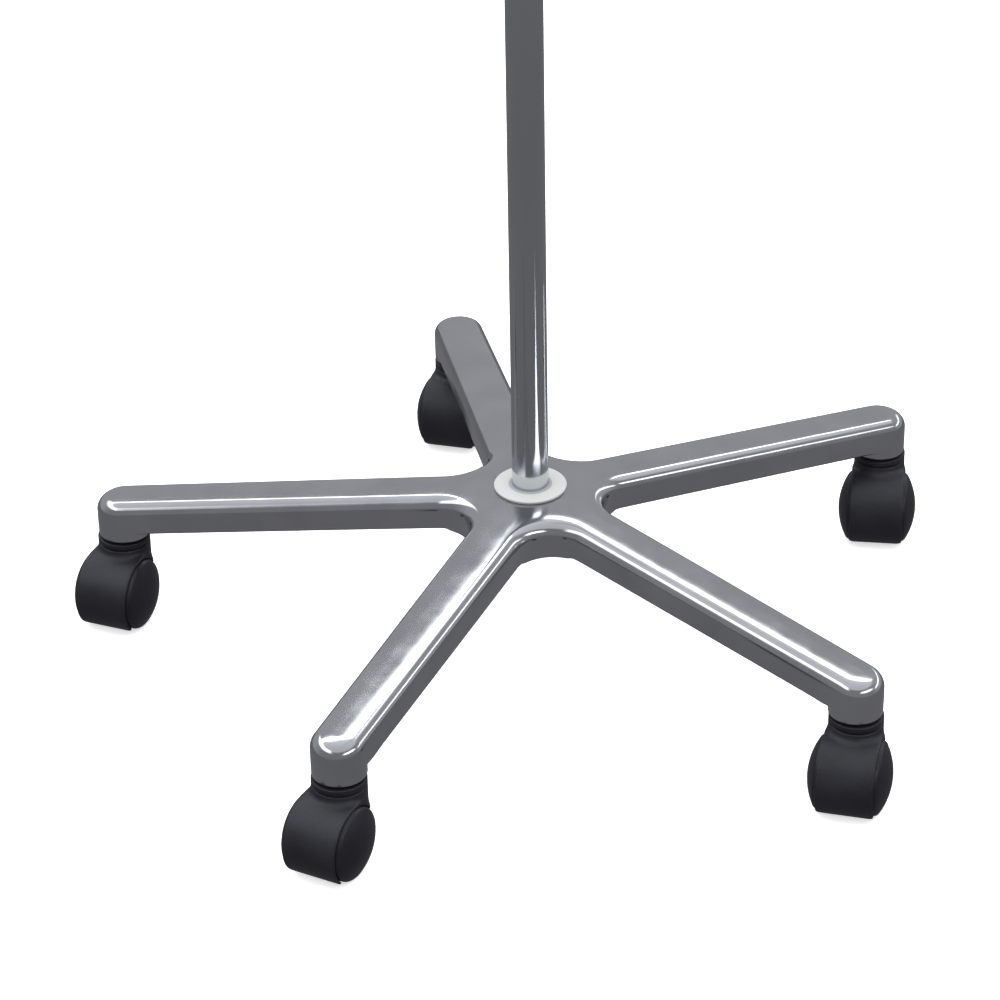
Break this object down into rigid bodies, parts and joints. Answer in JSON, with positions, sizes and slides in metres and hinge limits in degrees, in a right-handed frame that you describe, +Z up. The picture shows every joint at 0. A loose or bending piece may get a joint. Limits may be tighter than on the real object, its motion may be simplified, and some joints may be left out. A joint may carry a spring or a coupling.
{
  "type": "iv pole",
  "caption": "Rolling IV pole: polished five-arm cast base on hooded twin-wheel casters, chromed telescopic pole with a hand-screw height lock and bag hooks on top.",
  "frame": {"origin": "on the floor, on the axis of the pole", "axes": "+Z up along the pole; arm 2 of the base points along +Y; the lock knob points along -Y"},
  "size_m": [0.6126, 0.5869, 1.2267],
  "materials": {
    "cast_aluminium": "polished casting",
    "chrome": "bright chrome plate",
    "stainless_rod": "polished",
    "zinc_steel": "zinc plated",
    "brass": "machined",
    "cream_plastic": "moulded",
    "grey_plastic": "moulded",
    "black_plastic": "moulded, fine grain",
    "hood_plastic": "moulded, fine grain",
    "wheel_nylon": "moulded nylon"
  },
  "bodies": {
    "base": {"star_base": "cast_aluminium", "hub_collar": "cream_plastic", "lower_pole": "chrome", "pole_plug": "zinc_steel", "base_bolt": "zinc_steel", "base_washer": "zinc_steel", "lock_washer": "zinc_steel", "clamp_collar": "black_plastic", "clamp_bush": "grey_plastic", "caster_1_stem": "zinc_steel", "caster_1_grip_ring": "zinc_steel", "caster_2_stem": "zinc_steel", "caster_2_grip_ring": "zinc_steel", "caster_3_stem": "zinc_steel", "caster_3_grip_ring": "zinc_steel", "caster_4_stem": "zinc_steel", "caster_4_grip_ring": "zinc_steel", "caster_5_stem": "zinc_steel", "caster_5_grip_ring": "zinc_steel"},
    "caster_1": {"caster_1_hood": "hood_plastic", "caster_1_axle": "zinc_steel"},
    "caster_1_left": {"caster_1_wheel_left": "wheel_nylon"},
    "caster_1_right": {"caster_1_wheel_right": "wheel_nylon"},
    "caster_2": {"caster_2_hood": "hood_plastic", "caster_2_axle": "zinc_steel"},
    "caster_2_left": {"caster_2_wheel_left": "wheel_nylon"},
    "caster_2_right": {"caster_2_wheel_right": "wheel_nylon"},
    "caster_3": {"caster_3_hood": "hood_plastic", "caster_3_axle": "zinc_steel"},
    "caster_3_left": {"caster_3_wheel_left": "wheel_nylon"},
    "caster_3_right": {"caster_3_wheel_right": "wheel_nylon"},
    "caster_4": {"caster_4_hood": "hood_plastic", "caster_4_axle": "zinc_steel"},
    "caster_4_left": {"caster_4_wheel_left": "wheel_nylon"},
    "caster_4_right": {"caster_4_wheel_right": "wheel_nylon"},
    "caster_5": {"caster_5_hood": "hood_plastic", "caster_5_axle": "zinc_steel"},
    "caster_5_left": {"caster_5_wheel_left": "wheel_nylon"},
    "caster_5_right": {"caster_5_wheel_right": "wheel_nylon"},
    "guide": {"pole_guide": "grey_plastic"},
    "upper": {"upper_pole": "chrome", "upper_plug": "zinc_steel", "hook_hub": "chrome", "hook_screw": "zinc_steel", "hook_1": "stainless_rod", "hook_2": "stainless_rod", "hook_3": "stainless_rod", "hook_4": "stainless_rod"},
    "pad": {"lock_pad": "brass"},
    "knob": {"lock_screw": "zinc_steel", "lock_knob": "black_plastic"}
  },
  "joints": [
    {"name": "caster_1_swivel", "type": "hinge", "parent": "base", "child": "caster_1", "pos_m": [0.27409, 0.08906, 0.0525], "axis": [0, 0, 1], "continuous": true},
    {"name": "caster_1_left_spin", "type": "hinge", "parent": "caster_1", "child": "caster_1_left", "pos_m": [0.26909, 0.07365, 0.025], "axis": [0.9511, -0.309, 0], "continuous": true},
    {"name": "caster_1_right_spin", "type": "hinge", "parent": "caster_1", "child": "caster_1_right", "pos_m": [0.26909, 0.07365, 0.025], "axis": [0.9511, -0.309, 0], "continuous": true},
    {"name": "caster_2_swivel", "type": "hinge", "parent": "base", "child": "caster_2", "pos_m": [0, 0.2882, 0.0525], "axis": [0, 0, 1], "continuous": true},
    {"name": "caster_2_left_spin", "type": "hinge", "parent": "caster_2", "child": "caster_2_left", "pos_m": [-0.00685, 0.27352, 0.025], "axis": [0.9063, -0.4226, 0], "continuous": true},
    {"name": "caster_2_right_spin", "type": "hinge", "parent": "caster_2", "child": "caster_2_right", "pos_m": [-0.00685, 0.27352, 0.025], "axis": [0.9063, -0.4226, 0], "continuous": true},
    {"name": "caster_3_swivel", "type": "hinge", "parent": "base", "child": "caster_3", "pos_m": [-0.27409, 0.08906, 0.0525], "axis": [0, 0, 1], "continuous": true},
    {"name": "caster_3_left_spin", "type": "hinge", "parent": "caster_3", "child": "caster_3_left", "pos_m": [-0.28268, 0.07532, 0.025], "axis": [0.848, -0.5299, 0], "continuous": true},
    {"name": "caster_3_right_spin", "type": "hinge", "parent": "caster_3", "child": "caster_3_right", "pos_m": [-0.28268, 0.07532, 0.025], "axis": [0.848, -0.5299, 0], "continuous": true},
    {"name": "caster_4_swivel", "type": "hinge", "parent": "base", "child": "caster_4", "pos_m": [-0.1694, -0.23316, 0.0525], "axis": [0, 0, 1], "continuous": true},
    {"name": "caster_4_left_spin", "type": "hinge", "parent": "caster_4", "child": "caster_4_left", "pos_m": [-0.17937, -0.24592, 0.025], "axis": [0.788, -0.6157, 0], "continuous": true},
    {"name": "caster_4_right_spin", "type": "hinge", "parent": "caster_4", "child": "caster_4_right", "pos_m": [-0.17937, -0.24592, 0.025], "axis": [0.788, -0.6157, 0], "continuous": true},
    {"name": "caster_5_swivel", "type": "hinge", "parent": "base", "child": "caster_5", "pos_m": [0.1694, -0.23316, 0.0525], "axis": [0, 0, 1], "continuous": true},
    {"name": "caster_5_left_spin", "type": "hinge", "parent": "caster_5", "child": "caster_5_left", "pos_m": [0.16255, -0.24784, 0.025], "axis": [0.9063, -0.4226, 0], "continuous": true},
    {"name": "caster_5_right_spin", "type": "hinge", "parent": "caster_5", "child": "caster_5_right", "pos_m": [0.16255, -0.24784, 0.025], "axis": [0.9063, -0.4226, 0], "continuous": true},
    {"name": "height_slide", "type": "slide", "parent": "base", "child": "guide", "axis": [0, 0, 1], "range_m": [0, 0.8]},
    {"name": "hook_turn", "type": "hinge", "parent": "guide", "child": "upper", "pos_m": [0, 0, 1], "axis": [0, 0, 1], "continuous": true},
    {"name": "pad_slide", "type": "slide", "parent": "base", "child": "pad", "axis": [0, -1, 0], "range_m": [0, 0.00187]},
    {"name": "knob_turn", "type": "hinge", "parent": "pad", "child": "knob", "pos_m": [0, -0.03, 1.037], "axis": [0, -1, 0], "range_deg": [0, 540]}
  ],
  "couplings": [
    {"joint": "knob_turn", "follows": "pad_slide", "rad_per_m": 5026.5}
  ]
}
